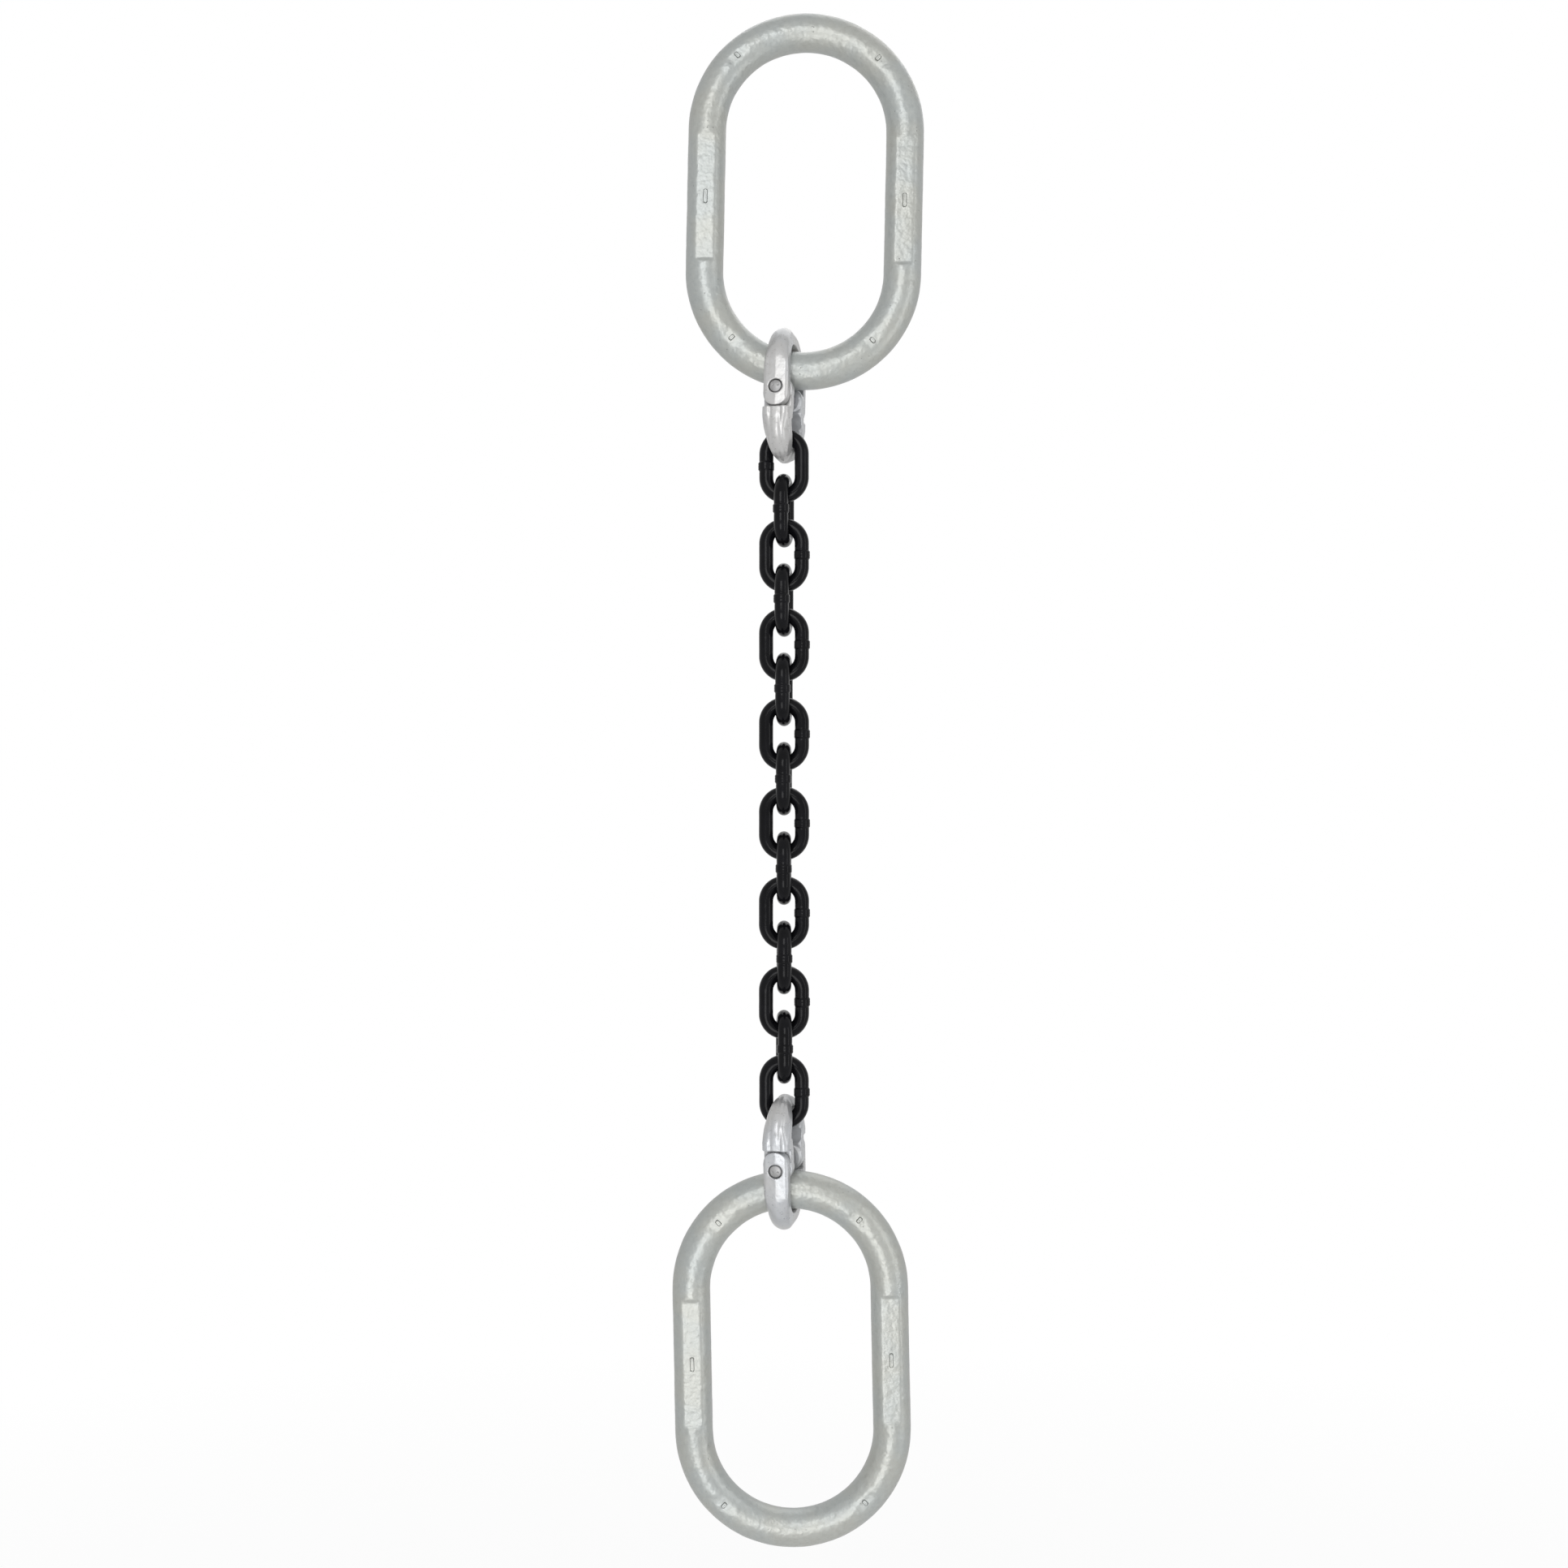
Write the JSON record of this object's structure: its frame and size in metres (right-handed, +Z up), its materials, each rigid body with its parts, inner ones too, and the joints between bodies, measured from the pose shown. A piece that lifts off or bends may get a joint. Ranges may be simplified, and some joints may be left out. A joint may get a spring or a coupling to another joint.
{
  "type": "chain sling",
  "caption": "Single-leg lifting sling: welded short-link chain with an oblong master link at each end, joined by pinned two-part coupling links.",
  "frame": {"origin": "hook seat: the middle of the inside of the upper master link's top crown", "axes": "+Z up, against the pull of the load; the upper master link's face looks along -Y; X runs across its opening"},
  "size_m": [0.1275, 0.0446, 0.7766],
  "materials": {
    "master_paint": "grey-green silver paint over forging skin",
    "coupling_paint": "silver-grey paint",
    "chain_black": "satin-gloss black",
    "pin_steel": "plain steel",
    "sleeve_steel": "plain spring steel"
  },
  "bodies": {
    "upper_master": {"upper_master_link": "master_paint"},
    "upper_clevis": {"upper_coupling_outer": "coupling_paint", "upper_load_pin": "pin_steel", "upper_sleeve": "sleeve_steel"},
    "upper_bow": {"upper_coupling_inner": "coupling_paint"},
    "link_01": {"chain_link_01": "chain_black"},
    "link_02": {"chain_link_02": "chain_black"},
    "link_03": {"chain_link_03": "chain_black"},
    "link_04": {"chain_link_04": "chain_black"},
    "link_05": {"chain_link_05": "chain_black"},
    "link_06": {"chain_link_06": "chain_black"},
    "link_07": {"chain_link_07": "chain_black"},
    "link_08": {"chain_link_08": "chain_black"},
    "link_09": {"chain_link_09": "chain_black"},
    "link_10": {"chain_link_10": "chain_black"},
    "link_11": {"chain_link_11": "chain_black"},
    "link_12": {"chain_link_12": "chain_black"},
    "link_13": {"chain_link_13": "chain_black"},
    "link_14": {"chain_link_14": "chain_black"},
    "link_15": {"chain_link_15": "chain_black"},
    "lower_bow": {"lower_coupling_inner": "coupling_paint"},
    "lower_clevis": {"lower_coupling_outer": "coupling_paint", "lower_load_pin": "pin_steel", "lower_sleeve": "sleeve_steel"},
    "lower_master": {"lower_master_link": "master_paint"}
  },
  "joints": [
    {"name": "upper_clevis_on_bar", "type": "hinge", "parent": "upper_master", "child": "upper_clevis", "pos_m": [-0.01143, 0, -0.16105], "axis": [-0.9831, 0, 0.1832], "range_deg": [-90, 90]},
    {"name": "upper_bow_on_pin", "type": "hinge", "parent": "upper_clevis", "child": "upper_bow", "pos_m": [-0.01176, -0.00135, -0.17491], "axis": [-0.2322, -0.967, 0.1045], "range_deg": [-60, 60]},
    {"name": "link_01_swing", "type": "hinge", "parent": "upper_bow", "child": "link_01", "pos_m": [-0.0121, -0.00275, -0.20403], "axis": [0.1891, 0.982, 0], "range_deg": [-60, 60]},
    {"name": "link_02_swing", "type": "hinge", "parent": "link_01", "child": "link_02", "pos_m": [-0.0121, -0.00275, -0.22538], "axis": [0.9854, -0.1702, 0], "range_deg": [-75, 75]},
    {"name": "link_03_swing", "type": "hinge", "parent": "link_02", "child": "link_03", "pos_m": [-0.0121, -0.00275, -0.24798], "axis": [0.1513, 0.9885, 0], "range_deg": [-75, 75]},
    {"name": "link_04_swing", "type": "hinge", "parent": "link_03", "child": "link_04", "pos_m": [-0.0121, -0.00275, -0.27058], "axis": [0.9912, -0.1323, 0], "range_deg": [-75, 75]},
    {"name": "link_05_swing", "type": "hinge", "parent": "link_04", "child": "link_05", "pos_m": [-0.0121, -0.00275, -0.29318], "axis": [-0.1132, -0.9936, 0], "range_deg": [-75, 75]},
    {"name": "link_06_swing", "type": "hinge", "parent": "link_05", "child": "link_06", "pos_m": [-0.0121, -0.00275, -0.31578], "axis": [-0.9956, 0.0941, 0], "range_deg": [-75, 75]},
    {"name": "link_07_swing", "type": "hinge", "parent": "link_06", "child": "link_07", "pos_m": [-0.0121, -0.00275, -0.33838], "axis": [0.075, 0.9972, 0], "range_deg": [-75, 75]},
    {"name": "link_08_swing", "type": "hinge", "parent": "link_07", "child": "link_08", "pos_m": [-0.0121, -0.00275, -0.36098], "axis": [0.9984, -0.0558, 0], "range_deg": [-75, 75]},
    {"name": "link_09_swing", "type": "hinge", "parent": "link_08", "child": "link_09", "pos_m": [-0.0121, -0.00275, -0.38358], "axis": [0.0366, 0.9993, 0], "range_deg": [-75, 75]},
    {"name": "link_10_swing", "type": "hinge", "parent": "link_09", "child": "link_10", "pos_m": [-0.0121, -0.00275, -0.40618], "axis": [0.9998, -0.0175, 0], "range_deg": [-75, 75]},
    {"name": "link_11_swing", "type": "hinge", "parent": "link_10", "child": "link_11", "pos_m": [-0.0121, -0.00275, -0.42878], "axis": [0.0017, -1, 0], "range_deg": [-75, 75]},
    {"name": "link_12_swing", "type": "hinge", "parent": "link_11", "child": "link_12", "pos_m": [-0.0121, -0.00275, -0.45138], "axis": [-0.9998, -0.0209, 0], "range_deg": [-75, 75]},
    {"name": "link_13_swing", "type": "hinge", "parent": "link_12", "child": "link_13", "pos_m": [-0.0121, -0.00275, -0.47398], "axis": [-0.0401, 0.9992, 0], "range_deg": [-75, 75]},
    {"name": "link_14_swing", "type": "hinge", "parent": "link_13", "child": "link_14", "pos_m": [-0.0121, -0.00275, -0.49658], "axis": [0.9982, 0.0593, 0], "range_deg": [-75, 75]},
    {"name": "link_15_swing", "type": "hinge", "parent": "link_14", "child": "link_15", "pos_m": [-0.0121, -0.00275, -0.51918], "axis": [0.1822, 0.9833, 0], "range_deg": [-75, 75]},
    {"name": "lower_bow_on_chain", "type": "hinge", "parent": "link_15", "child": "lower_bow", "pos_m": [-0.0121, -0.00275, -0.53303], "axis": [-0.1822, -0.9833, 0], "range_deg": [-60, 60]},
    {"name": "lower_clevis_on_pin", "type": "hinge", "parent": "lower_bow", "child": "lower_clevis", "pos_m": [-0.01176, -0.00135, -0.56215], "axis": [0.2322, 0.967, 0.1045], "range_deg": [-60, 60]},
    {"name": "lower_master_on_clevis", "type": "hinge", "parent": "lower_clevis", "child": "lower_master", "pos_m": [-0.01143, 0, -0.57676], "axis": [0.9988, 0, 0.05], "range_deg": [-90, 90]}
  ]
}
